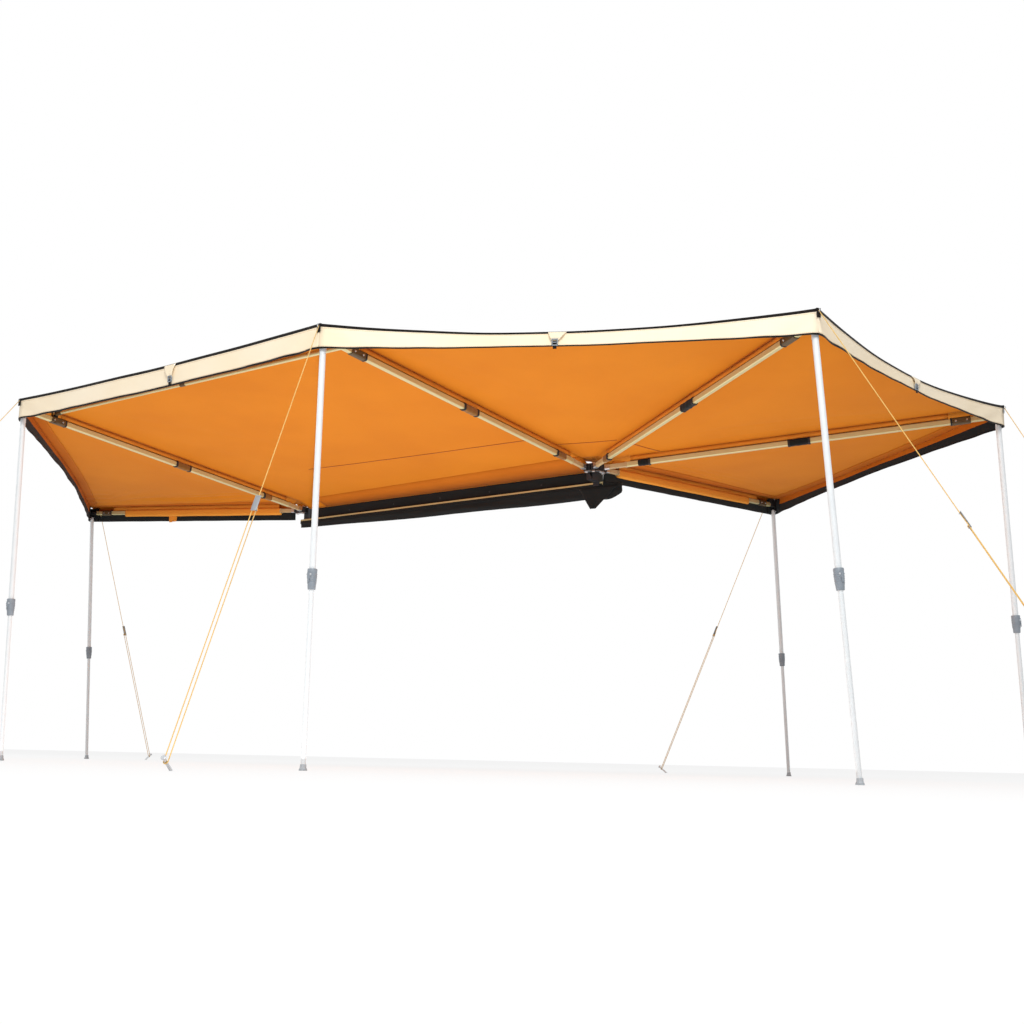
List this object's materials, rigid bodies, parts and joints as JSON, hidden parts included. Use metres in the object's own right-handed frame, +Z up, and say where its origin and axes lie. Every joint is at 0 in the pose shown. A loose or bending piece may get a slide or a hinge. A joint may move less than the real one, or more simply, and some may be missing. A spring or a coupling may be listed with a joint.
{
  "type": "side awning",
  "caption": "Fan-shaped side awning on a base rail, opened out on leaning poles, with a drop valance and pegged guy ropes.",
  "frame": {"origin": "on the ground, under the middle of the awning without its guy ropes and pegs", "axes": "+X along the base rail from the rear hub to the front hub, +Y outboard of the rail, +Z up"},
  "size_m": [7.7543, 5.9697, 1.965],
  "materials": {
    "champagne_aluminium": "anodised champagne, satin",
    "white_pole": "white powder coat, satin",
    "dark_steel": "dark powder coat",
    "bracket_plastic": "dark brown moulded plastic",
    "lock_plastic": "blue-grey moulded plastic",
    "canvas": "coated ripstop cloth, orange inside and cream on the valance",
    "bag_fabric": "black coated fabric",
    "rope": "pale yellow braided cord",
    "peg_steel": "plated steel"
  },
  "bodies": {
    "frame": {"base_rail": "champagne_aluminium", "hub_rear": "dark_steel", "hub_front": "dark_steel", "roof_bracket_rear": "dark_steel", "roof_bracket_front": "dark_steel", "storage_bag": "bag_fabric", "canopy_main": "canvas", "guy_rope_1": "rope", "guy_rope_2": "rope", "guy_rope_3": "rope", "guy_rope_4": "rope", "guy_rope_5": "rope", "guy_rope_6": "rope", "peg_1": "peg_steel", "peg_2": "peg_steel", "peg_3": "peg_steel", "peg_4": "peg_steel", "peg_5": "peg_steel", "peg_6": "peg_steel"},
    "arm_1": {"knuckle_1": "dark_steel", "arm_tube_1": "champagne_aluminium", "arm_tip_1": "bracket_plastic"},
    "pole_1": {"pole_upper_1": "white_pole"},
    "pole_1_lower": {"pole_lower_1": "white_pole"},
    "pole_1_lock": {"pole_lock_1": "lock_plastic"},
    "arm_2": {"knuckle_2": "dark_steel", "arm_tube_2": "champagne_aluminium", "arm_tip_2": "bracket_plastic", "canopy_front_fan": "canvas"},
    "pole_2": {"pole_upper_2": "white_pole"},
    "pole_2_lower": {"pole_lower_2": "white_pole"},
    "pole_2_lock": {"pole_lock_2": "lock_plastic"},
    "arm_3": {"knuckle_3": "dark_steel", "arm_tube_3": "champagne_aluminium", "arm_tip_3": "bracket_plastic", "canopy_rear_fan_3": "canvas"},
    "pole_3": {"pole_upper_3": "white_pole"},
    "pole_3_lower": {"pole_lower_3": "white_pole"},
    "pole_3_lock": {"pole_lock_3": "lock_plastic"},
    "arm_4": {"knuckle_4": "dark_steel", "arm_tube_4": "champagne_aluminium", "arm_tip_4": "bracket_plastic", "canopy_rear_fan_4": "canvas"},
    "pole_4": {"pole_upper_4": "white_pole"},
    "pole_4_lower": {"pole_lower_4": "white_pole"},
    "pole_4_lock": {"pole_lock_4": "lock_plastic"},
    "arm_5": {"knuckle_5": "dark_steel", "arm_tube_5": "champagne_aluminium", "arm_tip_5": "bracket_plastic", "canopy_rear_fan_5": "canvas"},
    "pole_5": {"pole_upper_5": "white_pole"},
    "pole_5_lower": {"pole_lower_5": "white_pole"},
    "pole_5_lock": {"pole_lock_5": "lock_plastic"},
    "arm_6": {"knuckle_6": "dark_steel", "arm_tube_6": "champagne_aluminium", "arm_tip_6": "bracket_plastic"},
    "pole_6": {"pole_upper_6": "white_pole"},
    "pole_6_lower": {"pole_lower_6": "white_pole"},
    "pole_6_lock": {"pole_lock_6": "lock_plastic"},
    "spreader_bar": {"spreader": "champagne_aluminium"}
  },
  "joints": [
    {"name": "rear_fold", "type": "hinge", "parent": "frame", "child": "arm_3", "pos_m": [-1.1912, 0.10919, 1.752], "axis": [0, 0, -1], "range_deg": [0, 89.44], "deforming": ["canopy_main", "canopy_rear_fan_3", "canopy_rear_fan_4", "canopy_rear_fan_5", "guy_rope_3", "guy_rope_4", "guy_rope_5", "guy_rope_6"]},
    {"name": "arm_4_fold", "type": "hinge", "parent": "arm_3", "child": "arm_4", "pos_m": [-1.2392, 0.10966, 1.752], "axis": [0, 0, -1], "range_deg": [0, 56.74]},
    {"name": "arm_5_fold", "type": "hinge", "parent": "arm_4", "child": "arm_5", "pos_m": [-1.26595, 0.06981, 1.752], "axis": [0, 0, -1], "range_deg": [0, 50.53]},
    {"name": "arm_6_fold", "type": "hinge", "parent": "arm_5", "child": "arm_6", "pos_m": [-1.25223, 0.02381, 1.752], "axis": [0, 0, -1], "range_deg": [0, 70.56]},
    {"name": "front_fold", "type": "hinge", "parent": "frame", "child": "arm_2", "pos_m": [1.1828, 0.01319, 1.752], "axis": [0, 0, 1], "range_deg": [0, 87.93], "deforming": ["canopy_front_fan", "guy_rope_1", "guy_rope_2"]},
    {"name": "arm_1_fold", "type": "hinge", "parent": "arm_2", "child": "arm_1", "pos_m": [1.23077, 0.01493, 1.752], "axis": [0, 0, 1], "range_deg": [0, 88.39]},
    {"name": "pole_1_fold", "type": "hinge", "parent": "arm_1", "child": "pole_1", "pos_m": [3.36043, 0.15396, 1.86774], "axis": [-0.0608, 0.9966, -0.0563], "range_deg": [0, 84.29]},
    {"name": "pole_1_slide", "type": "slide", "parent": "pole_1", "child": "pole_1_lower", "axis": [0.0122, 0.0571, 0.9983], "range_m": [0, 0.7]},
    {"name": "pole_1_lock_twist", "type": "hinge", "parent": "pole_1", "child": "pole_1_lock", "pos_m": [3.36043, 0.15396, 1.86774], "axis": [0.0122, 0.0571, 0.9983], "range_deg": [0, 90]},
    {"name": "pole_2_fold", "type": "hinge", "parent": "arm_2", "child": "pole_2", "pos_m": [1.0995, 2.3133, 1.8679], "axis": [-0.9993, -0.0362, 0], "range_deg": [0, 83.97]},
    {"name": "pole_2_slide", "type": "slide", "parent": "pole_2", "child": "pole_2_lower", "axis": [-0.001, 0.0267, 0.9996], "range_m": [0, 0.7]},
    {"name": "pole_2_lock_twist", "type": "hinge", "parent": "pole_2", "child": "pole_2_lock", "pos_m": [1.0995, 2.3133, 1.8679], "axis": [-0.001, 0.0267, 0.9996], "range_deg": [0, 90]},
    {"name": "pole_3_fold", "type": "hinge", "parent": "arm_3", "child": "pole_3", "pos_m": [-1.16955, 2.32416, 1.86782], "axis": [-1, 0.0098, 0], "range_deg": [0, 85.35]},
    {"name": "pole_3_slide", "type": "slide", "parent": "pole_3", "child": "pole_3_lower", "axis": [0, 0, 1], "range_m": [0, 0.7]},
    {"name": "pole_3_lock_twist", "type": "hinge", "parent": "pole_3", "child": "pole_3_lock", "pos_m": [-1.16955, 2.32416, 1.86782], "axis": [0, 0, 1], "range_deg": [0, 90]},
    {"name": "spreader_swing", "type": "hinge", "parent": "arm_3", "child": "spreader_bar", "pos_m": [-1.17151, 2.12417, 1.8983], "axis": [0.0007, 0.0724, -0.9974], "range_deg": [0, 55]},
    {"name": "pole_4_fold", "type": "hinge", "parent": "arm_4", "child": "pole_4", "pos_m": [-3.07178, 1.33978, 1.86781], "axis": [-0.5542, -0.8313, 0.0426], "range_deg": [0, 88.72]},
    {"name": "pole_4_slide", "type": "slide", "parent": "pole_4", "child": "pole_4_lower", "axis": [0.0728, 0.0026, 0.9973], "range_m": [0, 0.7]},
    {"name": "pole_4_lock_twist", "type": "hinge", "parent": "pole_4", "child": "pole_4_lock", "pos_m": [-3.07178, 1.33978, 1.86781], "axis": [0.0728, 0.0026, 0.9973], "range_deg": [0, 90]},
    {"name": "pole_5_fold", "type": "hinge", "parent": "arm_5", "child": "pole_5", "pos_m": [-3.32857, -0.54534, 1.86776], "axis": [0.2886, -0.9565, 0.0427], "range_deg": [0, 87.38]},
    {"name": "pole_5_slide", "type": "slide", "parent": "pole_5", "child": "pole_5_lower", "axis": [0.0237, 0.0517, 0.9984], "range_m": [0, 0.7]},
    {"name": "pole_5_lock_twist", "type": "hinge", "parent": "pole_5", "child": "pole_5_lock", "pos_m": [-3.32857, -0.54534, 1.86776], "axis": [0.0237, 0.0517, 0.9984], "range_deg": [0, 90]},
    {"name": "pole_6_fold", "type": "hinge", "parent": "arm_6", "child": "pole_6", "pos_m": [-1.36238, -2.16646, 1.8678], "axis": [0.9987, -0.0502, 0], "range_deg": [0, 90.51]},
    {"name": "pole_6_slide", "type": "slide", "parent": "pole_6", "child": "pole_6_lower", "axis": [0.0046, 0.0905, 0.9959], "range_m": [0, 0.7]},
    {"name": "pole_6_lock_twist", "type": "hinge", "parent": "pole_6", "child": "pole_6_lock", "pos_m": [-1.36238, -2.16646, 1.8678], "axis": [0.0046, 0.0905, 0.9959], "range_deg": [0, 90]}
  ],
  "couplings": [
    {"joint": "arm_4_fold", "follows": "rear_fold", "ratio": 0.63382},
    {"joint": "arm_5_fold", "follows": "rear_fold", "ratio": 0.56438},
    {"joint": "arm_6_fold", "follows": "rear_fold", "ratio": 0.7884},
    {"joint": "arm_1_fold", "follows": "front_fold", "ratio": 1.0047}
  ]
}
